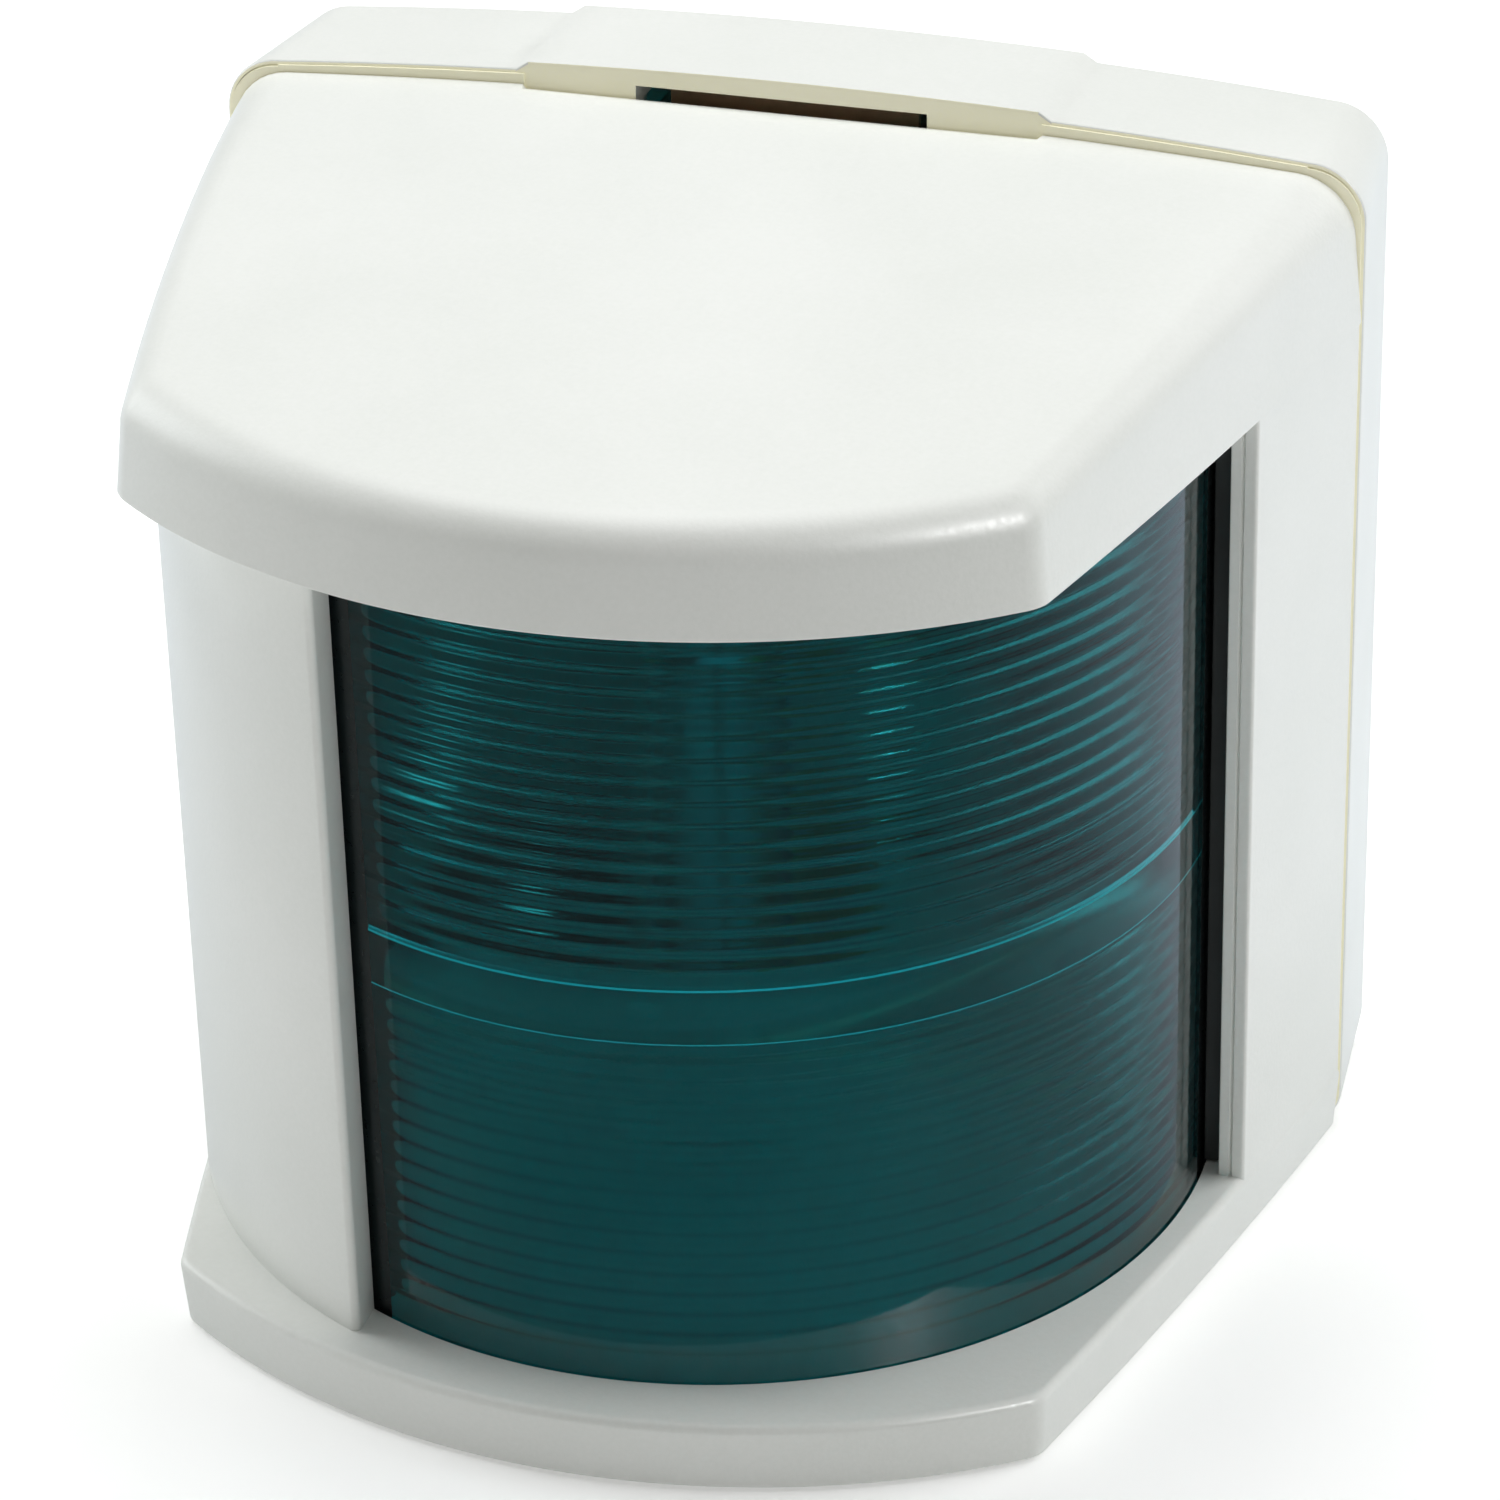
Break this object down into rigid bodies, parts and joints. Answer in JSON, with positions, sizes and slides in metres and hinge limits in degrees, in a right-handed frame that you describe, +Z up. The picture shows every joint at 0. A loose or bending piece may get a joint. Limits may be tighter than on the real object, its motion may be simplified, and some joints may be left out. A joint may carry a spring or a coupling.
{
  "type": "navigation light",
  "caption": "Bulkhead-mounted starboard side light: white two-part housing with overhanging roof, green sector lens on a hinged cover, festoon lamp inside.",
  "frame": {"origin": "centre of the four mounting holes, on the flat back face that lies on the bulkhead", "axes": "+Z up, +Y into the bulkhead, the lens looks towards -Y, +X points ahead"},
  "size_m": [0.088, 0.075, 0.0832],
  "materials": {
    "housing_white": "satin moulded",
    "holder_white": "satin moulded",
    "lens_green": "clear ribbed",
    "seal_cream": "matt",
    "rubber_black": "matt",
    "screen_black": "matt",
    "steel": "bright",
    "bronze": "rolled",
    "brass": "rolled",
    "bulb_glass": "clear",
    "filament": "drawn wire",
    "terminal_white": "matt",
    "lead_red": "soft",
    "lead_black": "soft"
  },
  "bodies": {
    "base": {"base_housing": "housing_white", "back_seal": "rubber_black", "cable_grommet": "rubber_black", "cover_seal": "seal_cream", "clip_pin": "steel", "hinge_pins": "steel", "lamp_carrier": "holder_white", "carrier_screws": "steel", "contact_upper": "brass", "contact_lower": "brass", "contact_rivets": "steel", "terminal_body": "terminal_white", "terminal_clamps": "brass", "terminal_screws": "steel", "lead_live": "lead_red", "lead_return": "lead_black"},
    "cover": {"cover_housing": "housing_white", "lens": "lens_green", "lens_seal": "rubber_black", "screen_aft": "screen_black", "screen_fore": "screen_black", "screen_screws": "steel"},
    "clip": {"release_clip": "bronze"},
    "lamp": {"bulb_glass": "bulb_glass", "bulb_caps": "steel", "bulb_filament": "filament"}
  },
  "joints": [
    {"name": "cover_hinge", "type": "hinge", "parent": "base", "child": "cover", "pos_m": [0, -0.012, -0.0434], "axis": [1, 0, 0], "range_deg": [0, 45]},
    {"name": "clip_press", "type": "hinge", "parent": "base", "child": "clip", "pos_m": [0, -0.0042, 0.0299], "axis": [1, 0, 0], "range_deg": [0, 10], "stiffness_Nm_per_rad": 0.15},
    {"name": "lamp_pull", "type": "slide", "parent": "base", "child": "lamp", "axis": [0, -1, 0], "range_m": [0, 0.012]}
  ]
}
